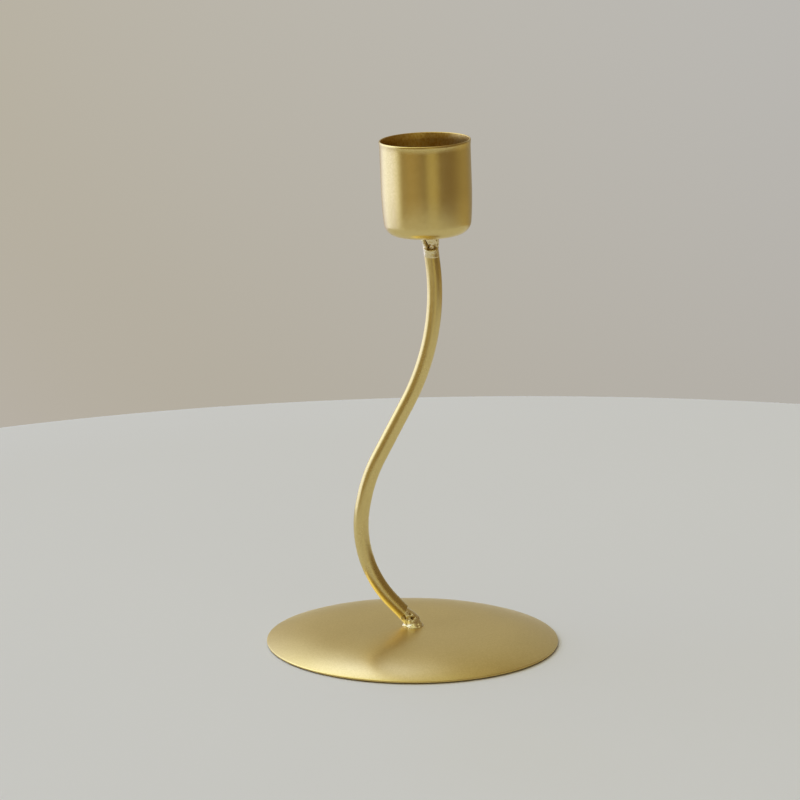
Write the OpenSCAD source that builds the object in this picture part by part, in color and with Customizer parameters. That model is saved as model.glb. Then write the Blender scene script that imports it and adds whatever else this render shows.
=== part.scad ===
// Candle holder for one taper candle, welded up from three metal pieces: a domed sheet
// dish, a round rod bent into an S, and a drawn cup. A bead of weld metal joins the rod's
// foot to the dish, and another joins its neck to the cup.
// Lengths are in millimetres and angles in degrees. The origin is the middle of the dish
// on the table, with X to the right, Y to the back and Z up. The rod's bends lie in the
// XZ plane, and its headings are measured from upright, positive towards the right.

/* [Base dish] */
// Diameter of the dish
dish_d = 89; // [70:1:120]
// Height of the crown above the table
crown_h = 5.2; // [3:0.1:10]
// Height of the upright edge around the dish
edge_h = 0.35; // [0.3:0.05:1]
// Height of the edge's lower corner above the table
edge_lift = 0.25; // [0.1:0.05:0.6]
// How far the ring that rests on the table lies in from the edge
ring_inset = 0.5; // [0.3:0.1:2]
// Width of the ring that rests on the table
ring_w = 0.6; // [0.4:0.1:2]
// Thickness of the dish's sheet
dish_sheet = 0.9; // [0.6:0.1:1.5]
// How late the dome turns down towards its edge, as the power of its curve
dome_power = 3.4; // [2:0.1:6]
// Flat ring left free around the bead at the crown
crown_land = 1; // [0.5:0.5:5]

/* [Rod] */
// Diameter of the rod
rod_d = 4.6; // [3:0.1:7]
// How much thinner the rod is drawn where it is bent
bend_thinning = 0.05; // [0.02:0.01:0.1]
// Where the rod's axis meets the crown, to the right of the middle
foot_offset = 1.2; // [-5:0.1:5]
// Angle by which the rod's foot leans to the left of upright
foot_angle = 43.5; // [10:0.5:50]
// Straight stretch along the axis from the crown to the first bend
foot_run = 10.5; // [8:0.5:20]
// Radius of the belly's lower bend
belly_r = 35; // [15:1:60]
// Angle of the belly's lower bend, to the right
belly_angle = 55; // [20:0.5:65]
// Straight stretch between the belly's two bends
belly_run = 2; // [1:0.5:10]
// Radius of the belly's upper bend
flank_r = 48; // [20:1:80]
// Angle of the belly's upper bend, to the right
flank_angle = 15.5; // [5:0.5:30]
// Straight stretch between the belly and the neck
middle_run = 19.5; // [5:0.5:40]
// Radius of the neck's bend
neck_r = 73; // [30:1:120]
// Angle of the neck's bend, to the left
neck_angle = 34.5; // [10:0.5:45]
// Straight stretch along the axis from the last bend to the cup's floor
neck_run = 8.8; // [6:0.1:20]

/* [Candle cup] */
// Diameter of the cup's straight upper part
cup_d = 27.2; // [22:0.1:40]
// Height of the cup along its own axis
cup_h = 28.5; // [20:0.5:50]
// Thickness of the cup's wall
cup_wall = 0.5; // [0.4:0.05:1]
// Outer radius of the corner between the cup's floor and wall
cup_corner_r = 4; // [2:0.5:8]
// Height at which the tapered lower part ends
cup_taper_h = 14; // [9:0.5:18]
// How much narrower the radius is at the foot of the taper
cup_taper = 0.5; // [0.1:0.1:1.5]
// Height of the turned-out lip
lip_h = 0.9; // [0.6:0.1:2]
// How far the lip turns out past the wall
lip_flare = 0.13; // [0.05:0.01:0.5]
// Angle by which the cup leans to the left of upright
cup_angle = 2.1; // [-10:0.1:10]
// How far the cup's middle sits to the left of the rod's axis
cup_offset = 0.2; // [-1:0.1:1]

/* [Weld beads] */
// Length of the weld metal between the crown and the rod's sawn foot, along the axis
foot_bead_h = 5.2; // [4:0.1:7]
// Length of the weld metal between the rod's sawn top and the cup's floor, along the axis
neck_bead_h = 4.2; // [3:0.1:5.5]
// How far each bead stands out past the rod on its seat
bead_proud = 0.9; // [0.4:0.1:2]
// How much the bead's core is set in from the rod's surface
bead_inset = 0.3; // [0.1:0.1:0.5]
// How far the foot's bead lies back under the leaning rod, from its axis on the crown
toe_shift = 1; // [0:0.1:2]

/* [Hidden] */
$fn = 96;
paint = "#c9b37c";
weld_paint = "#d8c592";

// Straight steps along each run of the dome and around each arc of the cup
dome_steps = 24;
corner_steps = 10;
lip_steps = 8;

// Where each bead's core starts, as a share of the bead's length from its seat
core_start_share = 0.4;
// Lumps on each bead: angle around the rod's axis from the right towards the back,
// place along the bead as a share of its length, and radius as a share of the rod's
foot_lump_shares = [
    [180, 0.42, 0.62], [215, 0.72, 0.5], [262, 0.3, 0.55], [282, 0.66, 0.42],
    [330, 0.4, 0.5], [20, 0.85, 0.52], [75, 0.6, 0.55], [130, 0.45, 0.6]
];
neck_lump_shares = [
    [182, 0.44, 0.6], [236, 0.74, 0.4], [275, 0.4, 0.5], [312, 0.78, 0.42],
    [5, 0.42, 0.55], [60, 0.7, 0.5], [115, 0.5, 0.55]
];
// How far a lump's middle is sunk under the core's surface, as a share of the lump's radius
lump_sink_share = 0.45;
// How far a straight leg laps over the bend next to it, as a share of the rod's diameter
bend_lap_share = 0.06;

dish_r = dish_d / 2;
rod_r = rod_d / 2;
cup_r = cup_d / 2;
// Radius of each bead where it meets its seat
bead_r = rod_r + bead_proud;
core_r = rod_r - bead_inset;
// Radius of the flat in the middle of the crown, which carries the bead
crown_flat_r = abs(foot_offset) + toe_shift + bead_r + crown_land;
bend_lap = rod_d * bend_lap_share;
// Size of the blocks that cut the beads at their seats
beyond = dish_d;

edge_top = edge_lift + edge_h;
// Outer and inner radius of the ring that rests on the table
ring_out_r = dish_r - ring_inset;
ring_in_r = ring_out_r - ring_w;

// Height of the dome's outer face at a share of the way from the crown's flat to the edge
function dome_z(share) = crown_h - (crown_h - edge_top) * pow(share, dome_power);

function dome_r(share) = crown_flat_r + (dish_r - crown_flat_r) * share;

// Share of that way at which the hollow underside meets the ring
ring_share = (ring_in_r - crown_flat_r) / (dish_r - crown_flat_r);

module base_dish() {
    outer = [for (i = [0 : dome_steps]) [dome_r(i / dome_steps), dome_z(i / dome_steps)]];
    ring = [[dish_r, edge_lift], [ring_out_r, 0], [ring_in_r, 0]];
    under = [for (i = [dome_steps : -1 : 0])
        let (share = ring_share * i / dome_steps) [dome_r(share), max(dome_z(share) - dish_sheet, 0)]];
    color(paint)
        rotate_extrude()
            polygon(concat([[0, crown_h]], outer, ring, under, [[0, crown_h - dish_sheet]]));
}

// The rod's legs from foot to top: a straight length, or a bend's radius and signed angle
legs = [
    [foot_run - foot_bead_h, 0, 0],
    [0, belly_r, belly_angle],
    [belly_run, 0, 0],
    [0, flank_r, flank_angle],
    [middle_run, 0, 0],
    [0, neck_r, -neck_angle],
    [neck_run - neck_bead_h, 0, 0]
];
last_leg = len(legs) - 1;

// Point and heading reached from a point and heading by going along the axis
function ahead(at, run) = [at.x + run * sin(at.z), at.y + run * cos(at.z), at.z];

// Point and heading at the end of a leg: across, up and heading
function after(at, leg) =
    let (r = leg[1] * sign(leg[2]), turned = at.z + leg[2], start = ahead(at, leg[0]))
        [start.x + r * (cos(at.z) - cos(turned)), start.y + r * (sin(turned) - sin(at.z)), turned];

foot_point = [foot_offset, crown_h, -foot_angle];
// Point and heading at the start of a leg
function leg_start(i) =
    i == 0 ? ahead(foot_point, foot_bead_h) : after(leg_start(i - 1), legs[i - 1]);

rod_top = leg_start(last_leg + 1);
floor_point = ahead(rod_top, neck_bead_h);

// Places something at a point of the rod's axis, with Z along its heading
module on_axis(at) {
    translate([at.x, 0, at.y]) rotate([0, at.z, 0]) children();
}

module bend(r, turn) {
    mirror([turn > 0 ? 1 : 0, 0, 0])
        translate([-r, 0, 0])
            rotate([90, 0, 0])
                rotate_extrude(angle = abs(turn))
                    translate([r, 0]) circle(d = rod_d - bend_thinning);
}

// A straight leg, which laps a little over the thinner bends at its ends
module straight(i) {
    from = i == 0 ? 0 : -bend_lap;
    to = legs[i][0] + (i == last_leg ? 0 : bend_lap);
    translate([0, 0, from]) cylinder(d = rod_d, h = to - from);
}

module stem_rod() {
    color(paint)
        for (i = [0 : last_leg])
            on_axis(leg_start(i))
                if (legs[i][2] == 0) straight(i);
                else bend(legs[i][1], legs[i][2]);
}

// Places something in the cup's frame, with Z = 0 on the underside of its floor
module at_cup() {
    translate([floor_point.x, 0, floor_point.y])
        rotate([0, -cup_angle, 0])
            translate([-cup_offset, 0, 0]) children();
}

function arc(centre, r, from, to, steps) =
    [for (i = [0 : steps]) let (a = from + (to - from) * i / steps) centre + r * [cos(a), sin(a)]];

module candle_cup() {
    floor_r = cup_r - cup_taper - cup_corner_r;
    corner = [floor_r, cup_corner_r];
    bore_r = cup_r - cup_wall;
    edge_r = cup_wall / 2;
    outer = concat(
        arc(corner, cup_corner_r, -90, 0, corner_steps),
        [[cup_r, cup_taper_h], [cup_r, cup_h - lip_h]]);
    edge = arc([cup_r - edge_r + lip_flare, cup_h - edge_r], edge_r, 0, 180, lip_steps);
    inner = concat(
        [[bore_r, cup_h - lip_h], [bore_r, cup_taper_h]],
        arc(corner, cup_corner_r - cup_wall, 0, -90, corner_steps));
    color(paint)
        at_cup()
            rotate_extrude()
                polygon(concat([[0, 0]], outer, edge, inner, [[0, cup_wall]]));
}

// Balls standing out of a bead's core, placed by their shares of its length and radius
module lumps(bead_h, shares) {
    for (lump = shares)
        let (turn = lump[0], place = bead_h * lump[1], r = rod_r * lump[2])
            rotate([0, 0, turn])
                translate([core_r - r * lump_sink_share, 0, place]) sphere(r = r);
}

// The bead's core from within its foot on the seat to the rod's sawn end
module core(bead_h) {
    translate([0, 0, bead_h * core_start_share])
        cylinder(r = core_r, h = bead_h * (1 - core_start_share));
}

// The space that the rod takes beyond its sawn end
module rod_space(bead_h) {
    translate([0, 0, bead_h]) cylinder(d = rod_d, h = bead_h);
}

module base_weld() {
    color(weld_paint)
        difference() {
            union() {
                translate([foot_offset - toe_shift, 0, crown_h]) sphere(r = bead_r);
                on_axis(foot_point) core(foot_bead_h);
                on_axis(foot_point) lumps(foot_bead_h, foot_lump_shares);
            }
            on_axis(foot_point) rod_space(foot_bead_h);
            translate([-beyond, -beyond, crown_h - 2 * beyond]) cube(2 * beyond);
        }
}

module cup_weld() {
    // The same axis seen from the cup's floor, pointing down the rod
    down = [floor_point.x, floor_point.y, floor_point.z + 180];
    color(weld_paint)
        difference() {
            union() {
                on_axis(down) sphere(r = bead_r);
                on_axis(down) core(neck_bead_h);
                on_axis(down) lumps(neck_bead_h, neck_lump_shares);
            }
            on_axis(down) rod_space(neck_bead_h);
            at_cup() translate([-beyond, -beyond, 0]) cube(2 * beyond);
        }
}

base_dish();
stem_rod();
candle_cup();
base_weld();
cup_weld();
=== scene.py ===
import math

import bmesh
import bpy
import numpy as np
from mathutils import Matrix, Vector, noise


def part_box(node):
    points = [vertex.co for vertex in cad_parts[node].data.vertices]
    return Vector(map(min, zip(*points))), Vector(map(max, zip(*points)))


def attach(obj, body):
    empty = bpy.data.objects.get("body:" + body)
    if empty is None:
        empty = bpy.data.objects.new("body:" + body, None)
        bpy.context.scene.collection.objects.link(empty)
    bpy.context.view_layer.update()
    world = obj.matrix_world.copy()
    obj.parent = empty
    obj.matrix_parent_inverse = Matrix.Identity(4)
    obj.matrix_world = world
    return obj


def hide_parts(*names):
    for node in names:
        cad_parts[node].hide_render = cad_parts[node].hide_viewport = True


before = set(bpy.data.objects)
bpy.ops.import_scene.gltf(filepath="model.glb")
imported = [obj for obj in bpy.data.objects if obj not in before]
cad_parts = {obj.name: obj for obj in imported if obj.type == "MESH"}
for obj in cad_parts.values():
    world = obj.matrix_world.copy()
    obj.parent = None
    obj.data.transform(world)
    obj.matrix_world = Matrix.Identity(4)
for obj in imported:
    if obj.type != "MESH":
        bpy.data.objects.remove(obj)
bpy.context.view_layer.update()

# A candle holder for one taper candle: a pressed disc, a bent rod and a drawn cup, welded
# together and painted in one satin gold. Lengths are in millimetres until a mesh or the
# camera is placed, and angles are in degrees. X runs to the right, Y to the back and Z up.
# The rod's bends lie in the XZ plane, and headings are measured from upright, positive
# towards the right.
MM = 0.001

# Camera
IMAGE_PX = 800
CAMERA_BACK = 1200
CAMERA_ASIDE = -3.82
CAMERA_UP = 357.7
CAMERA_DIP = 13.22
FOCAL_PX = 4087
SENSOR_W = 36

# Dish: its edge stands clear of the table, and it rests on a narrow ring set in from it
DISH_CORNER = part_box("base_dish")[1] / MM
DISH_R = DISH_CORNER.x
CROWN_H = DISH_CORNER.z
EDGE_LIFT = 0.42
EDGE_TOP = 0.85
EDGE_ROUND = 0.26
EDGE_TURN = 0.04
SHEET = 0.9
DOME_POWER = 3.4
CROWN_FLAT_R = 6.4
RING_INSET = 1.5
RING_W = 0.6
RING_FILLET = 0.1
UNDER_CLEAR = 0.02
SHOULDER_W = 0.45
SHOULDER_STEPS = 8
DOME_STEPS = 64
DISH_SIDES = 256

# Rod
ROD_R = 2.3
FOOT_OFFSET = 1.2
FOOT_ANGLE = 43.5
FOOT_BEAD_H = 5.2
NECK_BEAD_H = 4.2
# The rod's legs from foot to top: a straight length, a bend's radius and its signed angle
LEGS = [
    (5.3, 0, 0),
    (0, 35, 55),
    (2, 0, 0),
    (0, 48, 15.5),
    (19.5, 0, 0),
    (0, 73, -34.5),
    (4.6, 0, 0),
]
PATH_STEP = 0.5
ROD_SIDES = 64
# How far in from each square end the saw's cut lies, and how it slopes across the rod. The
# slack lets the points of the end itself count as on the rod.
FOOT_CUT, FOOT_SLOPE = 0.4, 0.29
TOP_CUT, TOP_SLOPE = 0.5, -0.13
CUT_SLACK = 0.01

# Cup
CUP_R = 13.6
CUP_H = 28.5
CUP_WALL = 0.5
CUP_CORNER_R = 4
CUP_TAPER_H = 14
CUP_TAPER = 0.5
CUP_ANGLE = 2.1
CUP_OFFSET = 0.2
LIP_FLARE = 0.17
LIP_RISE = 2
LIP_STEPS = 10
LIP_ROUND = 0.5
LIP_OUT_STEPS = 10
LIP_IN_STEPS = 6
FLOOR_STEPS = 8
CORNER_STEPS = 24
BORE_CORNER_STEPS = 20
TAPER_STEPS = 16
CUP_SIDES = 224

# Faces that turn from each other by more than this keep a sharp edge
SMOOTH_ANGLE = 40
WELD_SMOOTH_ANGLE = 60

# Welds: a bead's points round it and from one station to the next, and a stroke's steps
BEAD_SIDES = 160
BEAD_STEPS = 14
STROKE_STEPS = 30
# The paint's measure of how deep a pit or high a ridge is, for its full painted shade or painted
# highlight, and the share of it that leaves none. Strokes of the shaping width or wider only shape the
# bead.
PIT_DEPTH = 0.4
RIDGE_HEIGHT = 0.3
NO_MARK = 0.2
SHAPING_WIDTH = 1
# The skin's ripples: the height of each kind and how close they lie, per millimetre.
# So many stations at each end are plain, and past them the ripples come in over a quarter
# of a station. Where a bead turns smooth they fade within half a station, to a share of
# what they were.
RIPPLES = ((0.08, 0.9), (0.03, 2.4))
FIRST_PLAIN, LAST_PLAIN = 0.3, 1.5
END_FADE, SMOOTH_FADE = 4, 2
RIPPLE_LEFT = 0.3
# The least length that anything is divided by
TINY = 1e-9

# Paint: its colour on smooth metal and over the welds, from pale to deep, and how close its
# flakes and clouds lie
PAINT = (0.79, 0.633, 0.262, 1)
PAINT_DEEP = (0.70, 0.547, 0.203, 1)
WELD_PAINT = (0.88, 0.77, 0.47, 1)
WELD_PAINT_DEEP = (0.82, 0.69, 0.38, 1)
PAINT_EDGE_TINT = (1.0, 0.96, 0.86, 1)
FLAKES_PER_M = 3000.0
CLOUDS_PER_M = 55.0
FLAKE_SHARE = 0.8
DEEP_UP_TO, PALE_FROM = 0.35, 1.45

# Its surface: how close its peel, marks and dust nibs lie, a nib's size as a share of the
# space between nibs, and the depth of it all in millimetres
PEEL_PER_M = 620.0
MARKS_PER_M = 1500.0
NIBS_PER_M = 90.0
NIB_SIZE = 0.05
PEEL_DEPTH = 0.004
WELD_PEEL_DEPTH = 0.006

# Its gloss, from the glossiest clouds to the dullest, and the clear coat over it
GLOSSY_UP_TO, DULL_FROM = 0.3, 0.7
GLOSSIER, DULLER = 0.02, 0.03
COAT = {"Coat Weight": 0.2, "Coat Roughness": 0.25, "Coat IOR": 1.5}

# In hollows the paint is darkened as painted shade, with streaks of fuller paint along the marks
HOLLOW_SHADE = (0.60, 0.40, 0.10, 1)
PIT_SHADE = (0.40, 0.28, 0.08, 1)
STREAKS_FROM, STREAKS_FULL = 0.4, 0.6
HOLLOW_STREAKS = 0.75
HOLLOW_ROUGHER = 0.12

# Painted highlight: where a weld stands up its paint is made paler, and it is less metallic
HIGHLIGHT_PAINT = (0.96, 0.89, 0.54, 1)
WELD_METALLIC, HIGHLIGHT_METALLIC = 0.75, 0.5
HIGHLIGHT_ROUGHER = 0.15

# Table
TABLE_R = 417
TABLE_X, TABLE_Y, TABLE_Z = 46, -77, -0.02
TABLE_EDGE = 12
TABLE_STEPS = 6
TABLE_EDGE_STEPS = 16
TABLE_SIDES = 256
TABLE_COLOUR = (0.79, 0.79, 0.82)
TABLE_DARKER = 0.97
TABLE_CLOUDS_PER_M = 6.0
TABLE_ROUGH = 0.6
TABLE_SHINE = 0.2

# Room: its own dim colour, and its soft lights. Each has a bearing from straight in front
# of the holder, with minus to the left, an angle above the level, the angle from its middle
# at which it has faded out, and a colour. A fitting program found nearly all of these numbers
# from the photograph's tones, and they were then rounded.
ROOM_LEVEL = (0.21, 0.15, 0.08, 1)
SOFT_LIGHTS = [
    (-132, -38, 48, (0.49, 0.59, 1.11)),
    (-120, 22, 52, (0.92, 1.16, 2.03)),
    (-168, 49, 12, (0.78, 1.02, 2.35)),
    (-108, 58, 52, (0.71, 0.81, 0.52)),
    (-90, -9, 21, (0.45, 0.53, 1.05)),
    (112, -50, 56, (0.38, 0.36, 0.20)),
    (16, 0, 24, (0.31, 0.30, 0.15)),
    (160, 12, 40, (0.10, 0.15, 0.23)),
    (-32, -24, 32, (0.18, 0.15, 0.07)),
    (-116, 37, 107, (0.21, 0.19, 0.09)),
    (180, -12, 20, (0.15, 0.17, 0.19)),
    (0, 70, 40, (0.25, 0.25, 0.22)),
    (-78, -12, 16, (0.31, 0.36, 0.32)),
]


def ahead(at, run):
    """Point and heading reached by going straight on from a point and heading."""
    x, z, heading = at
    lean = math.radians(heading)
    return x + run * math.sin(lean), z + run * math.cos(lean), heading


def around(at, radius, turn):
    """Point and heading reached by bending through an angle from a point and heading."""
    x, z, heading = at
    side = math.copysign(radius, turn)
    before = math.radians(heading)
    later = math.radians(heading + turn)
    x += side * (math.cos(before) - math.cos(later))
    z += side * (math.sin(later) - math.sin(before))
    return x, z, heading + turn


def rod_path():
    """Points and headings along the rod's axis, close enough together to be smooth."""
    at = ahead((FOOT_OFFSET, CROWN_H, -FOOT_ANGLE), FOOT_BEAD_H)
    path = [at]
    for run, radius, turn in LEGS:
        length = run or abs(math.radians(turn)) * radius
        steps = math.ceil(length / PATH_STEP)
        for i in range(1, steps + 1):
            share = i / steps
            path.append(ahead(at, run * share) if run else around(at, radius, turn * share))
        at = path[-1]
    return path


PATH = rod_path()
FOOT_END = PATH[0]
TOP_END = PATH[-1]
CUP_FLOOR = ahead(TOP_END, NECK_BEAD_H)


def cup_place():
    """Where the cup stands: its own Z runs up its axis from the underside of its floor."""
    stand = Matrix.Translation((CUP_FLOOR[0], 0, CUP_FLOOR[1]))
    lean = Matrix.Rotation(math.radians(-CUP_ANGLE), 4, "Y")
    return stand @ lean @ Matrix.Translation((-CUP_OFFSET, 0, 0))


# Shapes

def new_piece(name, points, faces, smooth_angle=SMOOTH_ANGLE):
    """A mesh object from points in millimetres, with its faces pointing outwards."""
    mesh = bpy.data.meshes.new(name)
    mesh.from_pydata([tuple(Vector(point) * MM) for point in points], [], faces)
    work = bmesh.new()
    work.from_mesh(mesh)
    bmesh.ops.recalc_face_normals(work, faces=work.faces)
    work.to_mesh(mesh)
    work.free()
    mesh.shade_smooth()
    mesh.set_sharp_from_angle(angle=math.radians(smooth_angle))
    piece = bpy.data.objects.new(name, mesh)
    bpy.context.scene.collection.objects.link(piece)
    return piece


def ring_faces(rings, sides):
    """Quads between rings of points that follow each other in a list."""
    faces = []
    for i in range(rings - 1):
        low = i * sides
        for j in range(sides):
            k = (j + 1) % sides
            faces.append((low + j, low + k, low + sides + k, low + sides + j))
    return faces


def closed_rings(rings):
    """Points and faces of a shell through rings of points, closed by a pole at each end."""
    sides = len(rings[0])
    first = sum((Vector(point) for point in rings[0]), Vector()) / sides
    last = sum((Vector(point) for point in rings[-1]), Vector()) / sides
    points = [point for ring in rings for point in ring] + [first, last]
    faces = ring_faces(len(rings), sides)
    end = (len(rings) - 1) * sides
    for j in range(sides):
        k = (j + 1) % sides
        faces.append((len(points) - 2, k, j))
        faces.append((len(points) - 1, end + j, end + k))
    return points, faces


def lathe(name, profile, sides, place):
    """A shell turned from a profile of (across, up) points, each end of it near the axis."""
    turns = [math.tau * j / sides for j in range(sides)]
    rings = [[place @ Vector((across * math.cos(turn), across * math.sin(turn), up)) for turn in turns]
             for across, up in profile]
    return new_piece(name, *closed_rings(rings))


def mark(piece, name, values):
    """Stores a value from 0 to 1 at each point, for the paint to read by its name."""
    layer = piece.data.attributes.new(name, "FLOAT", "POINT")
    layer.data.foreach_set("value", values)


def arc(centre, radius, start, end, steps):
    """Points on an arc of a profile from one angle to another."""
    across, up = centre
    angles = (math.radians(start + (end - start) * i / steps) for i in range(steps + 1))
    return [(across + radius * math.cos(angle), up + radius * math.sin(angle)) for angle in angles]


def rounded(before, corner, after, radius, steps):
    """The arc that rounds a profile's corner between the points before and after it."""
    corner = Vector(corner)
    back = (Vector(before) - corner).normalized()
    on = (Vector(after) - corner).normalized()
    half = back.angle(on) / 2
    centre = corner + (back + on).normalized() * radius / math.sin(half)
    start = corner + back * radius / math.tan(half) - centre
    end = corner + on * radius / math.tan(half) - centre
    sweep = math.degrees(start.angle_signed(end))
    first = math.degrees(math.atan2(start.y, start.x))
    return arc(centre, radius, first, first - sweep, steps)


def dome_z(across):
    """Height of the dome's outer face at a distance from the middle."""
    share = max(0, (across - CROWN_FLAT_R) / (DISH_R - CROWN_FLAT_R))
    return CROWN_H - (CROWN_H - EDGE_TOP) * share ** DOME_POWER


def base_dish():
    """The pressed disc: a dome with a rounded shoulder, hollow below, on a narrow ring."""
    ring_out = DISH_R - RING_INSET
    ring_in = ring_out - RING_W
    reach = DISH_R - SHOULDER_W
    top = [(reach * i / DOME_STEPS, dome_z(reach * i / DOME_STEPS))
           for i in range(1, DOME_STEPS + 1)]
    shoulder = rounded(top[-1], (DISH_R, EDGE_TOP), (DISH_R, EDGE_LIFT), EDGE_ROUND, SHOULDER_STEPS)
    ring = [(DISH_R - EDGE_TURN, EDGE_LIFT - EDGE_TURN / 2),
            (ring_out + RING_FILLET, EDGE_LIFT - EDGE_TURN),
            (ring_out, 0), (ring_in, 0)]
    under = [(ring_in * i / DOME_STEPS, max(dome_z(ring_in * i / DOME_STEPS) - SHEET, UNDER_CLEAR))
             for i in range(DOME_STEPS, 0, -1)]
    disc = lathe("pressed_disc", top[:-1] + shoulder + ring + under, DISH_SIDES, Matrix.Identity(4))
    open_points = (len(top) - 1 + len(shoulder)) * DISH_SIDES
    below = (len(ring) + len(under)) * DISH_SIDES
    # Painted shade: the ring and the underside take the dark hollow colour
    mark(disc, "hollow", [0.0] * open_points + [1.0] * below + [0.0, 1.0])
    return disc


def candle_cup():
    """The drawn cup: round-cornered floor, slightly tapered foot, thin turned-out lip."""
    lean_in = math.atan(2 * CUP_TAPER / (CUP_TAPER_H - CUP_CORNER_R))
    corner_top = CUP_CORNER_R * (1 - math.sin(lean_in))
    floor_r = CUP_R - CUP_TAPER - CUP_CORNER_R * math.cos(lean_in)
    corner = (floor_r, CUP_CORNER_R)
    bore_r = CUP_R - CUP_WALL
    edge_r = CUP_WALL / 2
    edge_x = CUP_R - edge_r + LIP_FLARE
    lip_z = CUP_H - LIP_ROUND

    def flare(share):
        return LIP_FLARE * share * share

    outer = [(floor_r * i / FLOOR_STEPS, 0) for i in range(1, FLOOR_STEPS)]
    outer += arc(corner, CUP_CORNER_R, -90, -math.degrees(lean_in), CORNER_STEPS)
    outer += [(CUP_R - CUP_TAPER * (1 - i / TAPER_STEPS) ** 2,
               corner_top + (CUP_TAPER_H - corner_top) * i / TAPER_STEPS)
              for i in range(1, TAPER_STEPS + 1)]
    outer += [(CUP_R + flare(i / LIP_STEPS), lip_z - LIP_RISE * (1 - i / LIP_STEPS))
              for i in range(LIP_STEPS)]
    lip = arc((0, 0), edge_r, 0, 90, LIP_OUT_STEPS)
    outer += [(edge_x + x, lip_z + z * LIP_ROUND / edge_r) for x, z in lip]
    inner = arc((edge_x, CUP_H - edge_r), edge_r, 90, 180, LIP_IN_STEPS)[1:]
    inner += [(bore_r + flare(1 - i / LIP_STEPS), CUP_H - edge_r - LIP_RISE * i / LIP_STEPS)
              for i in range(1, LIP_STEPS + 1)]
    inner += [(bore_r, CUP_TAPER_H)]
    inner += arc(corner, CUP_CORNER_R - CUP_WALL, 0, -90, BORE_CORNER_STEPS)
    inner += [(floor_r * i / FLOOR_STEPS, CUP_WALL) for i in range(FLOOR_STEPS - 1, 0, -1)]
    cup = lathe("drawn_cup", outer + inner, CUP_SIDES, cup_place())
    outside = len(outer) * CUP_SIDES
    inside = len(inner) * CUP_SIDES
    # Painted shade: the cup's inside takes the dark hollow colour
    mark(cup, "hollow", [0.0] * outside + [1.0] * inside + [0.0, 1.0])
    return cup


# The rod

def sweep_tree():
    """Geometry nodes that sweep a round bar along a path of edges and close its ends."""
    tree = bpy.data.node_groups.new("round_bar_along_path", "GeometryNodeTree")
    sockets = tree.interface
    sockets.new_socket("Path", in_out="INPUT", socket_type="NodeSocketGeometry")
    for name, kind in (("Bar radius", "Float"), ("Sides", "Int"), ("Step", "Float"),
                       ("Paint", "Material")):
        sockets.new_socket(name, in_out="INPUT", socket_type="NodeSocket" + kind)
    sockets.new_socket("Bar", in_out="OUTPUT", socket_type="NodeSocketGeometry")
    start = tree.nodes.new("NodeGroupInput")
    end = tree.nodes.new("NodeGroupOutput")
    curve = tree.nodes.new("GeometryNodeMeshToCurve")
    even = tree.nodes.new("GeometryNodeResampleCurve")
    even.mode = "LENGTH"
    along = tree.nodes.new("GeometryNodeSplineParameter")
    keep_along = tree.nodes.new("GeometryNodeStoreNamedAttribute")
    keep_along.inputs["Name"].default_value = "along"
    circle = tree.nodes.new("GeometryNodeCurvePrimitiveCircle")
    place = tree.nodes.new("GeometryNodeInputPosition")
    keep_ring = tree.nodes.new("GeometryNodeStoreNamedAttribute")
    keep_ring.data_type = "FLOAT_VECTOR"
    keep_ring.inputs["Name"].default_value = "ring"
    sweep = tree.nodes.new("GeometryNodeCurveToMesh")
    sweep.inputs["Fill Caps"].default_value = True
    real = tree.nodes.new("GeometryNodeRealizeInstances")
    paint = tree.nodes.new("GeometryNodeSetMaterial")
    for source, target in (
        (start.outputs["Path"], curve.inputs["Mesh"]),
        (curve.outputs["Curve"], even.inputs["Curve"]),
        (start.outputs["Step"], even.inputs["Length"]),
        (even.outputs["Curve"], keep_along.inputs["Geometry"]),
        (along.outputs["Length"], keep_along.inputs["Value"]),
        (start.outputs["Sides"], circle.inputs["Resolution"]),
        (start.outputs["Bar radius"], circle.inputs["Radius"]),
        (circle.outputs["Curve"], keep_ring.inputs["Geometry"]),
        (place.outputs["Position"], keep_ring.inputs["Value"]),
        (keep_along.outputs["Geometry"], sweep.inputs["Curve"]),
        (keep_ring.outputs["Geometry"], sweep.inputs["Profile Curve"]),
        (sweep.outputs["Mesh"], real.inputs["Geometry"]),
        (real.outputs["Geometry"], paint.inputs["Geometry"]),
        (start.outputs["Paint"], paint.inputs["Material"]),
        (paint.outputs["Geometry"], end.inputs["Bar"]),
    ):
        tree.links.new(source, target)
    return tree


def set_inputs(modifier, values):
    """Sets a node modifier's inputs by their names, through their identifiers."""
    for socket in modifier.node_group.interface.items_tree:
        if socket.in_out == "INPUT" and socket.name in values:
            modifier[socket.identifier] = values[socket.name]


def saw(mesh, end, inwards, cut, slope, reach):
    """Slides a bar's end along its axis to a sloping cut, easing out over a reach inwards."""
    x, z, heading = end
    lean = math.radians(heading)
    axis = Vector((math.sin(lean), 0, math.cos(lean)))
    side = Vector((math.cos(lean), 0, -math.sin(lean)))
    for vertex in mesh.vertices:
        off = vertex.co / MM - Vector((x, 0, z))
        depth = off.dot(axis) * inwards
        if off.length < reach + ROD_R and -CUT_SLACK < depth < reach:
            shift = cut + slope * off.dot(side)
            vertex.co += axis * inwards * shift * (1 - depth / reach) * MM


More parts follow.
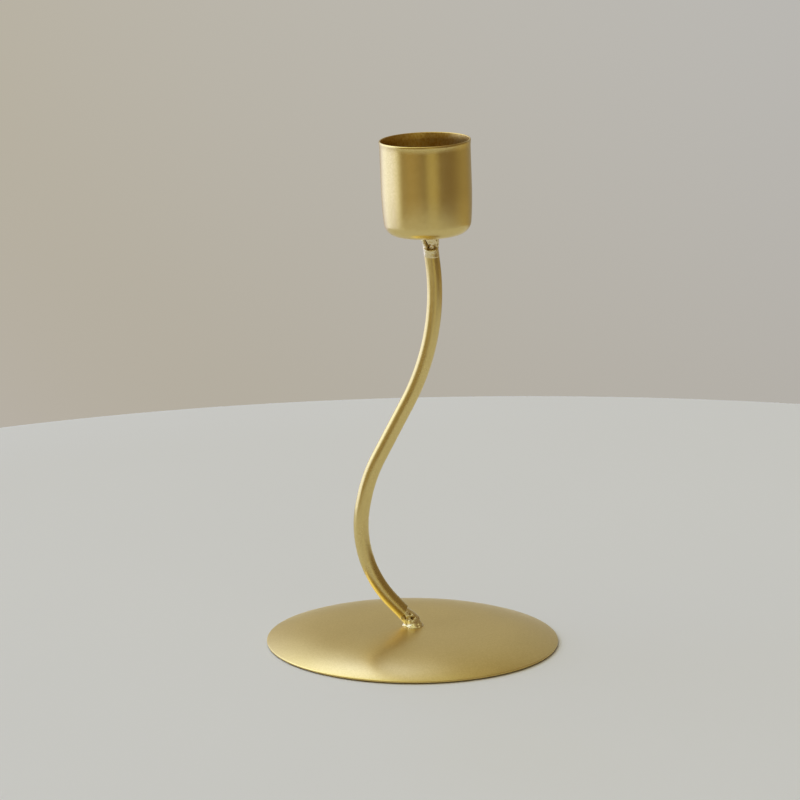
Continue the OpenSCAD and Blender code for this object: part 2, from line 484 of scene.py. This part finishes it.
def stem_rod(paint):
    """The bent rod, swept along its legs and sawn a little out of square at both ends."""
    points = [(x * MM, 0, z * MM) for x, z, _ in PATH]
    edges = [(i, i + 1) for i in range(len(points) - 1)]
    line = bpy.data.meshes.new("rod_axis")
    line.from_pydata(points, edges, [])
    carrier = bpy.data.objects.new("rod_axis", line)
    bpy.context.scene.collection.objects.link(carrier)
    modifier = carrier.modifiers.new("sweep", "NODES")
    modifier.node_group = sweep_tree()
    set_inputs(modifier, {"Bar radius": ROD_R * MM, "Sides": ROD_SIDES, "Step": PATH_STEP * MM,
                          "Paint": paint})
    shown = carrier.evaluated_get(bpy.context.evaluated_depsgraph_get())
    mesh = bpy.data.meshes.new_from_object(shown)
    bpy.data.objects.remove(carrier)
    mesh.name = "bent_rod"
    saw(mesh, FOOT_END, 1, FOOT_CUT, FOOT_SLOPE, LEGS[0][0])
    saw(mesh, TOP_END, -1, TOP_CUT, TOP_SLOPE, LEGS[-1][0])
    mesh.shade_smooth()
    mesh.set_sharp_from_angle(angle=math.radians(SMOOTH_ANGLE))
    rod = bpy.data.objects.new("bent_rod", mesh)
    bpy.context.scene.collection.objects.link(rod)
    return rod


# Welds

def between(stations, place):
    """A station's values at a place among the stations, smooth from one to the next."""
    i = min(int(place), len(stations) - 2)
    share = place - i
    rows = [np.array(stations[min(max(k, 0), len(stations) - 1)], float)
            for k in (i - 1, i, i + 1, i + 2)]
    slope_in = (rows[2] - rows[0]) / 2
    slope_out = (rows[3] - rows[1]) / 2
    here = 2 * share ** 3 - 3 * share ** 2 + 1
    leaving = share ** 3 - 2 * share ** 2 + share
    there = -2 * share ** 3 + 3 * share ** 2
    arriving = share ** 3 - share ** 2
    return here * rows[1] + leaving * slope_in + there * rows[2] + arriving * slope_out


def bead_point(stations, place, turn):
    """A point on the bead before its strokes: turn goes from the right round by the back."""
    x, z, tilt, right, back, left, front, dip = between(stations, place)
    lean = math.radians(tilt)
    aside = math.cos(math.radians(turn))
    behind = math.sin(math.radians(turn))
    wide = right if aside > 0 else left
    deep = back if behind > 0 else front
    reach = wide * aside ** 2 + deep * behind ** 2
    low = dip * max(0, -behind) ** 2
    x += reach * aside * math.cos(lean)
    z += reach * aside * math.sin(lean)
    return Vector((x, reach * behind, z - low))


def outwards(skin):
    """Unit vectors that point out of a bead, one at each point of its skin."""
    down = np.gradient(skin, axis=0)
    on = (np.roll(skin, -1, axis=1) - np.roll(skin, 1, axis=1)) / 2
    out = np.cross(on, down)
    out /= np.maximum(np.linalg.norm(out, axis=2, keepdims=True), TINY)
    middle = skin.mean(axis=1, keepdims=True)
    return -out if ((skin - middle) * out).sum() < 0 else out


def distance(skin, stations, place, turn):
    """How far each point of the skin is from a point on the bead."""
    return np.linalg.norm(skin - np.array(bead_point(stations, place, turn)), axis=2)


def stroke_relief(skin, stations, ends, width, height):
    """How far a stroke between two ends pushes each point of the skin out."""
    turn, place, last_turn, last_place = ends
    away = np.full(skin.shape[:2], np.inf)
    for i in range(STROKE_STEPS + 1):
        share = i / STROKE_STEPS
        on_place = place + (last_place - place) * share
        on_turn = turn + (last_turn - turn) * share
        away = np.minimum(away, distance(skin, stations, on_place, on_turn))
    return height * np.exp(-(away / width) ** 2)


def rippled(skin, places, last_place, seed, rough_to):
    """How far the skin's fine ripples push each of its points out."""
    push = np.zeros(skin.shape[:2])
    for i, place in enumerate(places):
        from_end = min(place - FIRST_PLAIN, last_place - LAST_PLAIN - place)
        ends = min(max(from_end * END_FADE, 0), 1)
        rough = min(max((rough_to - place) * SMOOTH_FADE, RIPPLE_LEFT), 1)
        for j in range(BEAD_SIDES):
            spot = Vector(skin[i, j]) + Vector((seed, 0, 0))
            ripple = sum(swell * noise.noise(spot * closeness) for swell, closeness in RIPPLES)
            push[i, j] = ripple * rough * ends
    return push


def weld_bead(name, stations, strokes, highlights, seed, rough_to):
    """A bead through its stations, with ridges, grooves, pits and a rippled skin pushed out of it."""
    last_place = len(stations) - 1
    places = [i / BEAD_STEPS for i in range(last_place * BEAD_STEPS + 1)]
    turns = [360 * j / BEAD_SIDES for j in range(BEAD_SIDES)]
    skin = np.array([[bead_point(stations, place, turn) for turn in turns] for place in places])
    push = np.zeros(skin.shape[:2])
    relief = np.zeros(skin.shape[:2])
    for *ends, width, height in strokes:
        stroke = stroke_relief(skin, stations, ends, width, height)
        push += stroke
        if width < SHAPING_WIDTH:
            relief += stroke
    # Painted highlight: ridges, and the listed pale places, take the pale highlight paint
    painted_highlight = relief / RIDGE_HEIGHT - NO_MARK
    for turn, place, width, paleness in highlights:
        painted_highlight += paleness * np.exp(-(distance(skin, stations, place, turn) / width) ** 2)
    push += rippled(skin, places, last_place, seed, rough_to)
    skin = skin + outwards(skin) * push[:, :, None]
    rings = [[Vector(point) for point in row] for row in skin]
    bead = new_piece(name, *closed_rings(rings), smooth_angle=WELD_SMOOTH_ANGLE)
    # Painted shade: deep enough pits and grooves take the dark pit colour
    pits = -relief / PIT_DEPTH - NO_MARK
    mark(bead, "hollow", list(np.clip(pits, 0, 1).ravel()) + [0.0, 0.0])
    mark(bead, "painted_highlight", list(np.clip(painted_highlight, 0, 1).ravel()) + [0.0, 0.0])
    return bead


# Stations of the foot's bead from the dish to the rod: across, up and tilt of the section,
# how far it reaches to the right, back, left and front, and how far its front dips. The
# neck's bead has the same, from the cup down, and ends back up inside the rod.
FOOT_STATIONS = [
    (0.15, 5.1, 0, 3.3, 3.3, 3.3, 4.0, 0),
    (0.15, 5.3, 0, 3.3, 3.3, 3.25, 3.95, 0),
    (0.1, 5.8, 0, 3.0, 2.95, 3.0, 3.55, 0),
    (-0.25, 6.25, 3, 2.85, 2.6, 2.9, 2.95, 0),
    (-1.05, 7.4, 12, 2.9, 2.4, 2.65, 2.5, 0),
    (-2.0, 8.3, 34, 2.5, 2.1, 2.3, 2.15, 0),
    (-2.75, 9.15, 57, 1.95, 1.9, 2.15, 2.05, 0),
    (-3.2, 9.75, 50, 1.6, 1.6, 1.6, 1.6, 0),
    (-3.5, 10.2, 46, 0.7, 0.7, 0.7, 0.7, 0),
]
# Strokes of both beads: turn and place among the stations at one end, then at the other,
# then width and height. One with a height below zero is a groove, and others are ridges.
# One whose two ends are the same is a pit or a lump.
FOOT_STROKES = [
    (314, 5.0, 314, 5.0, 0.33, -0.9), (294, 5.65, 291, 4.95, 0.22, 0.35),
    (286, 6.1, 279, 5.1, 0.26, 0.28), (279, 5.0, 316, 4.6, 0.26, 0.3),
    (318, 4.25, 299, 4.35, 0.22, -0.75), (299, 4.35, 299, 4.05, 0.22, -0.65),
    (312, 3.9, 312, 3.9, 0.28, 0.4), (268, 3.8, 268, 3.8, 0.3, 0.35), (290, 3.6, 290, 3.6, 0.3, 0.35),
    (246, 6.3, 226, 5.5, 0.27, 0.4), (266, 5.6, 256, 4.7, 0.28, -0.6),
    (190, 1.0, 302, 1.0, 0.24, 0.26), (224, 2.9, 244, 2.7, 0.3, -0.1),
    (229, 0, 229, 1.9, 1.9, -0.8), (272, 2.6, 272, 2.6, 0.65, 0.15), (298, 1.7, 298, 1.7, 0.38, -0.45),
    (306, 2.9, 306, 2.9, 0.28, -0.35),
    (0, 3.9, 0, 3.9, 0.7, 0.2), (20, 3.0, 20, 3.0, 0.7, -0.3), (55, 3.7, 70, 3.4, 0.8, 0.3),
    (90, 4.5, 110, 4.3, 0.6, -0.4), (120, 3.3, 120, 3.3, 0.8, 0.35), (150, 4.4, 160, 4.0, 0.6, 0.3),
    (180, 3.3, 180, 3.3, 0.6, -0.25), (340, 2.8, 340, 2.8, 0.5, 0.3),
]
# Painted highlights, where the paint is made pale on the welds' lit left and front: turn, place, width and
# how pale.
# Each bead has its own seed, and the place among its stations up to which it is rough.
FOOT_HIGHLIGHTS = [
    (232, 3.6, 1.2, 0.8), (228, 2.3, 1.0, 0.5), (262, 3.0, 1.2, 0.4), (290, 5.2, 0.9, 0.7),
    (288, 4.0, 0.9, 0.6), (250, 1.1, 1.1, 0.2), (282, 1.1, 1.1, 0.3),
]
FOOT_SEED = 3
FOOT_ROUGH_TO = 7.0


def neck_station(down, right, back, left, front, tilt, dip):
    """A section of the neck's bead at a distance down the rod's axis from the cup's floor."""
    x, z, _ = ahead(CUP_FLOOR, -down)
    return x, z, tilt, right, back, left, front, dip


def film_station(down, off, front_off, dip):
    """A round section of the film of melted metal, standing off the rod's own surface."""
    return neck_station(down, ROD_R + off, ROD_R + off, ROD_R + off, ROD_R + front_off, 0, dip)


NECK_STATIONS = [
    neck_station(-0.06, 3.0, 3.3, 3.0, 2.9, CUP_ANGLE, 0),
    neck_station(0.4, 2.95, 3.0, 2.75, 2.6, CUP_ANGLE, 0),
    neck_station(1.3, 2.85, 2.6, 2.45, 2.35, 1, 0),
    neck_station(2.3, 2.75, 2.4, 2.37, 2.1, 0, 0.15),
    neck_station(3.3, 2.6, 2.3, 2.3, 1.95, -2, 0.4),
    neck_station(4.05, 2.4, 2.25, 2.3, 1.9, -3, 0.6),
    film_station(4.3, 0.06, 0.17, 0.6),
    film_station(5.5, 0.05, 0.12, 0.4),
    film_station(6.8, 0.05, 0.05, 0.15),
    film_station(6.85, -0.1, -0.1, 0.15),
    film_station(5.6, -0.5, -0.5, 0),
    film_station(5.4, -1.7, -1.7, 0),
]
NECK_STROKES = [
    (190, 2.3, 214, 3.5, 0.3, 0.25), (204, 3.1, 208, 3.4, 0.14, -0.4),
    (222, 1.2, 228, 2.4, 0.26, -0.7), (228, 2.4, 238, 3.4, 0.28, -0.8), (238, 3.4, 254, 4.6, 0.32, -0.9),
    (268, 3.8, 268, 3.8, 0.46, -0.5), (290, 3.8, 290, 3.8, 0.2, 0.35),
    (312, 3.85, 312, 3.85, 0.42, -0.7), (312, 3.85, 312, 3.85, 0.16, 0.45),
    (316, 4.7, 316, 4.7, 0.36, -0.5), (326, 1.6, 338, 3.6, 0.2, -0.55), (338, 3.6, 345, 4.6, 0.2, -0.5),
    (244, 4.75, 290, 4.95, 0.22, -0.45), (290, 4.95, 330, 4.7, 0.2, -0.35), (236, 5.7, 310, 5.8, 0.2, 0.1),
    (282, 6.85, 282, 6.85, 0.22, -0.09),
    (40, 2.8, 40, 2.8, 0.6, 0.3), (80, 2.2, 80, 2.2, 0.6, -0.35), (110, 3.0, 120, 2.8, 0.6, 0.35),
    (145, 2.4, 145, 2.4, 0.6, 0.25),
]
NECK_HIGHLIGHTS = [
    (200, 3.0, 0.9, 1.0), (194, 1.8, 0.9, 1.0), (276, 2.3, 0.9, 0.5), (240, 6.2, 1.3, 0.5),
    (285, 6.6, 1.3, 0.5), (318, 6.0, 0.9, 0.4),
]
NECK_SEED = 11
NECK_ROUGH_TO = 6.0


# Materials

def add(tree, kind, **settings):
    """A new node with its own settings."""
    node = tree.nodes.new(kind)
    for name, value in settings.items():
        setattr(node, name, value)
    return node


def feed(tree, node, values):
    """Sets a node's inputs, or links them where the value is another node's output."""
    for name, value in values.items():
        if isinstance(value, bpy.types.NodeSocket):
            tree.links.new(value, node.inputs[name])
        else:
            node.inputs[name].default_value = value


def new_group(name, inputs, outputs):
    """An empty shader node group with named inputs and outputs, and its two end nodes."""
    tree = bpy.data.node_groups.new(name, "ShaderNodeTree")
    for label, kind in inputs:
        tree.interface.new_socket(label, in_out="INPUT", socket_type="NodeSocket" + kind)
    for label, kind in outputs:
        tree.interface.new_socket(label, in_out="OUTPUT", socket_type="NodeSocket" + kind)
    return tree, tree.nodes.new("NodeGroupInput"), tree.nodes.new("NodeGroupOutput")


def flake_group():
    """Fine metal flakes in the paint, and the soft cloudiness of how it was sprayed."""
    tree, start, end = new_group(
        "paint_flakes",
        [("Vector", "Vector"), ("Flakes per metre", "Float"), ("Clouds per metre", "Float")],
        [("Flakes", "Float"), ("Clouds", "Float")])
    cells = add(tree, "ShaderNodeTexVoronoi")
    feed(tree, cells, {"Vector": start.outputs["Vector"], "Scale": start.outputs["Flakes per metre"]})
    tone = add(tree, "ShaderNodeSeparateColor")
    feed(tree, tone, {"Color": cells.outputs["Color"]})
    clouds = add(tree, "ShaderNodeTexNoise")
    feed(tree, clouds, {"Vector": start.outputs["Vector"], "Scale": start.outputs["Clouds per metre"],
                        "Detail": 3.0, "Roughness": 0.55})
    tree.links.new(tone.outputs["Red"], end.inputs["Flakes"])
    tree.links.new(clouds.outputs["Fac"], end.inputs["Clouds"])
    return tree


def skin_group():
    """The paint's own surface: orange peel, drawing marks of the metal below, dust nibs."""
    tree, start, end = new_group(
        "paint_skin",
        [("Vector", "Vector"), ("Marks vector", "Vector"), ("Peel per metre", "Float"),
         ("Marks per metre", "Float"), ("Marks", "Float"), ("Nibs per metre", "Float")],
        [("Height", "Float"), ("Marks mask", "Float")])
    peel = add(tree, "ShaderNodeTexNoise")
    feed(tree, peel, {"Vector": start.outputs["Vector"], "Scale": start.outputs["Peel per metre"],
                      "Detail": 2.0, "Roughness": 0.5})
    marks = add(tree, "ShaderNodeTexNoise")
    feed(tree, marks, {"Vector": start.outputs["Marks vector"], "Scale": start.outputs["Marks per metre"],
                       "Detail": 4.0, "Roughness": 0.6})
    nibs = add(tree, "ShaderNodeTexVoronoi")
    feed(tree, nibs, {"Vector": start.outputs["Vector"], "Scale": start.outputs["Nibs per metre"]})
    dots = add(tree, "ShaderNodeMapRange", interpolation_type="SMOOTHSTEP")
    feed(tree, dots, {"Value": nibs.outputs["Distance"], "From Min": 0.0, "From Max": NIB_SIZE,
                      "To Min": 1.0, "To Max": 0.0})
    drawn = add(tree, "ShaderNodeMath", operation="MULTIPLY_ADD")
    feed(tree, drawn, {0: marks.outputs["Fac"], 1: start.outputs["Marks"], 2: peel.outputs["Fac"]})
    total = add(tree, "ShaderNodeMath", operation="ADD")
    feed(tree, total, {0: drawn.outputs[0], 1: dots.outputs["Result"]})
    tree.links.new(total.outputs[0], end.inputs["Height"])
    tree.links.new(marks.outputs["Fac"], end.inputs["Marks mask"])
    return tree


def paint_tone(tree, flakes, pale, deep):
    """The paint's colour, from deep to pale with its flakes and clouds."""
    depth = add(tree, "ShaderNodeMath", operation="MULTIPLY_ADD")
    feed(tree, depth, {0: flakes.outputs["Flakes"], 1: FLAKE_SHARE, 2: flakes.outputs["Clouds"]})
    spread = add(tree, "ShaderNodeMapRange")
    feed(tree, spread, {"Value": depth.outputs[0], "From Min": DEEP_UP_TO, "From Max": PALE_FROM})
    tone = add(tree, "ShaderNodeMix", data_type="RGBA")
    feed(tree, tone, {"Factor": spread.outputs["Result"], "A": deep, "B": pale})
    return tone.outputs["Result"]


def paint_gloss(tree, flakes, rough):
    """The paint's roughness, a little more or less with its clouds."""
    gloss = add(tree, "ShaderNodeMapRange")
    feed(tree, gloss, {"Value": flakes.outputs["Clouds"],
                       "From Min": GLOSSY_UP_TO, "From Max": DULL_FROM,
                       "To Min": rough - GLOSSIER, "To Max": rough + DULLER})
    return gloss.outputs["Result"]


def in_hollows(tree, colour, roughness, marks, hollow):
    """Colour and roughness with painted shade, streaked and duller, in the piece's hollows."""
    inside = add(tree, "ShaderNodeAttribute", attribute_name="hollow").outputs["Fac"]
    streaks = add(tree, "ShaderNodeMapRange")
    feed(tree, streaks, {"Value": marks, "From Min": STREAKS_FROM, "From Max": STREAKS_FULL,
                         "To Max": HOLLOW_STREAKS})
    streaked = add(tree, "ShaderNodeMix", data_type="RGBA")
    feed(tree, streaked, {"Factor": streaks.outputs["Result"], "A": hollow, "B": colour})
    # Painted shade: this mix puts the dark hollow colour where a piece marks its hollows
    thin = add(tree, "ShaderNodeMix", data_type="RGBA")
    feed(tree, thin, {"Factor": inside, "A": colour, "B": streaked.outputs["Result"]})
    dull = add(tree, "ShaderNodeMath", operation="MULTIPLY_ADD")
    feed(tree, dull, {0: inside, 1: HOLLOW_ROUGHER, 2: roughness})
    return thin.outputs["Result"], dull.outputs[0]


def on_ridges(tree, colour, roughness):
    """Colour, roughness and metallic value with a painted highlight on a weld's ridges and pale places."""
    painted_highlight = add(tree, "ShaderNodeAttribute", attribute_name="painted_highlight").outputs["Fac"]
    with_highlight = add(tree, "ShaderNodeMix", data_type="RGBA")
    feed(tree, with_highlight, {"Factor": painted_highlight, "A": colour, "B": HIGHLIGHT_PAINT})
    matt = add(tree, "ShaderNodeMath", operation="MULTIPLY_ADD")
    feed(tree, matt, {0: painted_highlight, 1: HIGHLIGHT_ROUGHER, 2: roughness})
    milky = add(tree, "ShaderNodeMapRange")
    feed(tree, milky, {"Value": painted_highlight, "To Min": WELD_METALLIC, "To Max": HIGHLIGHT_METALLIC})
    return with_highlight.outputs["Result"], matt.outputs[0], milky.outputs["Result"]


def gold_paint(name, groups, rough, marks_depth, marks_scale=(1, 1, 1), marks_from=None,
               peel_depth=PEEL_DEPTH, hollow=None, with_highlight=False, pale=PAINT, deep=PAINT_DEEP):
    """Satin gold paint: flakes tint its colour, clouds change its gloss, marks its surface."""
    material = bpy.data.materials.new(name)
    material.use_nodes = True
    tree = material.node_tree
    place = add(tree, "ShaderNodeTexCoord").outputs["Object"]
    marks_place = add(tree, "ShaderNodeMapping")
    feed(tree, marks_place, {"Vector": marks_from(tree) if marks_from else place, "Scale": marks_scale})
    flakes = add(tree, "ShaderNodeGroup", node_tree=groups["flakes"])
    feed(tree, flakes, {"Vector": place, "Flakes per metre": FLAKES_PER_M,
                        "Clouds per metre": CLOUDS_PER_M})
    skin = add(tree, "ShaderNodeGroup", node_tree=groups["skin"])
    feed(tree, skin, {"Vector": place, "Marks vector": marks_place.outputs["Vector"],
                      "Peel per metre": PEEL_PER_M, "Marks per metre": MARKS_PER_M,
                      "Marks": marks_depth, "Nibs per metre": NIBS_PER_M})
    relief = add(tree, "ShaderNodeBump")
    feed(tree, relief, {"Height": skin.outputs["Height"], "Strength": 1.0, "Distance": peel_depth * MM})
    colour = paint_tone(tree, flakes, pale, deep)
    roughness = paint_gloss(tree, flakes, rough)
    metallic = 1.0
    # Painted shade in the hollows that a piece marks
    if hollow:
        colour, roughness = in_hollows(tree, colour, roughness, skin.outputs["Marks mask"], hollow)
    # Painted highlight on a weld's ridges and pale places
    if with_highlight:
        colour, roughness, metallic = on_ridges(tree, colour, roughness)
    feed(tree, tree.nodes["Principled BSDF"], {
        "Base Color": colour, "Roughness": roughness, "Metallic": metallic,
        "Normal": relief.outputs["Normal"], "Specular Tint": PAINT_EDGE_TINT, **COAT})
    return material


def rod_marks(tree):
    """Coordinates of the rod as if it were straight: round its ring, and along it."""
    ring = add(tree, "ShaderNodeAttribute", attribute_name="ring")
    along = add(tree, "ShaderNodeAttribute", attribute_name="along")
    flat = add(tree, "ShaderNodeCombineXYZ")
    tree.links.new(along.outputs["Fac"], flat.inputs["Z"])
    whole = add(tree, "ShaderNodeVectorMath", operation="ADD")
    feed(tree, whole, {0: ring.outputs["Vector"], 1: flat.outputs["Vector"]})
    return whole.outputs["Vector"]


def table_top():
    """The pale table: nearly even, with a very faint cloudiness."""
    material = bpy.data.materials.new("pale_table")
    material.use_nodes = True
    tree = material.node_tree
    shader = tree.nodes["Principled BSDF"]
    place = add(tree, "ShaderNodeTexCoord").outputs["Object"]
    clouds = add(tree, "ShaderNodeTexNoise")
    feed(tree, clouds, {"Vector": place, "Scale": TABLE_CLOUDS_PER_M, "Detail": 2.0})
    tone = add(tree, "ShaderNodeMix", data_type="RGBA")
    darker = tuple(c * TABLE_DARKER for c in TABLE_COLOUR) + (1,)
    feed(tree, tone, {"Factor": clouds.outputs["Fac"], "A": darker, "B": TABLE_COLOUR + (1,)})
    feed(tree, shader, {"Base Color": tone.outputs["Result"], "Roughness": TABLE_ROUGH,
                        "Specular IOR Level": TABLE_SHINE})
    return material


# The room

def table():
    """A round table top with a soft edge, just under the dish's ring."""
    profile = [(TABLE_R * i / TABLE_STEPS, TABLE_Z) for i in range(1, TABLE_STEPS)]
    profile += arc((TABLE_R - TABLE_EDGE, TABLE_Z - TABLE_EDGE), TABLE_EDGE, 90, -90,
                   TABLE_EDGE_STEPS)
    profile += [(TABLE_R * i / TABLE_STEPS, TABLE_Z - 2 * TABLE_EDGE)
                for i in range(TABLE_STEPS - 1, 0, -1)]
    top = lathe("table", profile, TABLE_SIDES, Matrix.Translation((TABLE_X, TABLE_Y, 0)))
    top.data.materials.append(table_top())


def soft_light_group():
    """One soft round light on the room's walls, added to what is there already."""
    tree, start, end = new_group(
        "soft_light",
        [("Way", "Vector"), ("Towards", "Vector"), ("Edge", "Float"), ("Colour", "Color"),
         ("Room", "Color")],
        [("Lit room", "Color")])
    near = add(tree, "ShaderNodeVectorMath", operation="DOT_PRODUCT")
    feed(tree, near, {0: start.outputs["Way"], 1: start.outputs["Towards"]})
    fall = add(tree, "ShaderNodeMapRange", interpolation_type="SMOOTHSTEP")
    feed(tree, fall, {"Value": near.outputs["Value"], "From Min": start.outputs["Edge"], "From Max": 1.0})
    lit = add(tree, "ShaderNodeVectorMath", operation="MULTIPLY_ADD")
    feed(tree, lit, {0: start.outputs["Colour"], 1: fall.outputs["Result"], 2: start.outputs["Room"]})
    tree.links.new(lit.outputs["Vector"], end.inputs["Lit room"])
    return tree


def room():
    """One world for every ray: a dim warm room with soft lights on its walls."""
    world = bpy.data.worlds.new("room")
    bpy.context.scene.world = world
    world.use_nodes = True
    tree = world.node_tree
    way = add(tree, "ShaderNodeVectorMath", operation="NORMALIZE")
    feed(tree, way, {0: add(tree, "ShaderNodeTexCoord").outputs["Generated"]})
    group = soft_light_group()
    lit = ROOM_LEVEL
    for bearing, height, fade, colour in SOFT_LIGHTS:
        turn = math.radians(bearing)
        rise = math.radians(height)
        towards = (math.sin(turn) * math.cos(rise), -math.cos(turn) * math.cos(rise), math.sin(rise))
        light = add(tree, "ShaderNodeGroup", node_tree=group)
        feed(tree, light, {"Way": way.outputs["Vector"], "Towards": towards, "Colour": colour + (1,),
                           "Edge": math.cos(math.radians(fade)), "Room": lit})
        lit = light.outputs["Lit room"]
    feed(tree, tree.nodes["Background"], {"Color": lit, "Strength": 1.0})


def camera():
    """The photograph's view: a long lens from above the cup, dipped a little."""
    data = bpy.data.cameras.new("camera")
    data.sensor_width = SENSOR_W
    data.lens = FOCAL_PX / IMAGE_PX * SENSOR_W
    view = bpy.data.objects.new("camera", data)
    view.location = Vector((CAMERA_ASIDE, -CAMERA_BACK, CAMERA_UP)) * MM
    view.rotation_euler = (math.radians(90 - CAMERA_DIP), 0, 0)
    bpy.context.scene.collection.objects.link(view)
    bpy.context.scene.camera = view


def dress(piece, node, material):
    """Gives a piece its paint, and sets it in place of its node."""
    piece.data.materials.clear()
    piece.data.materials.append(material)
    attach(piece, "root")
    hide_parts(node)


camera()
room()
table()

groups = {"flakes": flake_group(), "skin": skin_group()}
disc_paint = gold_paint("gold_on_disc", groups, rough=0.31, marks_depth=0.1, hollow=HOLLOW_SHADE)
rod_paint = gold_paint("gold_on_rod", groups, rough=0.26, marks_depth=0.8,
                       marks_scale=(1, 1, 0.03), marks_from=rod_marks)
cup_paint = gold_paint("gold_on_cup", groups, rough=0.25, marks_depth=0.4,
                       marks_scale=(1, 1, 0.8), hollow=HOLLOW_SHADE)
weld_paint = gold_paint("gold_on_weld", groups, rough=0.2, marks_depth=0.3,
                        peel_depth=WELD_PEEL_DEPTH, hollow=PIT_SHADE, with_highlight=True,
                        pale=WELD_PAINT, deep=WELD_PAINT_DEEP)

dress(base_dish(), "base_dish", disc_paint)
dress(stem_rod(rod_paint), "stem_rod", rod_paint)
dress(candle_cup(), "candle_cup", cup_paint)
dress(weld_bead("foot_weld", FOOT_STATIONS, FOOT_STROKES, FOOT_HIGHLIGHTS, FOOT_SEED, FOOT_ROUGH_TO),
      "base_weld", weld_paint)
dress(weld_bead("neck_weld", NECK_STATIONS, NECK_STROKES, NECK_HIGHLIGHTS, NECK_SEED, NECK_ROUGH_TO),
      "cup_weld", weld_paint)

bpy.context.scene.view_settings.view_transform = "Standard"
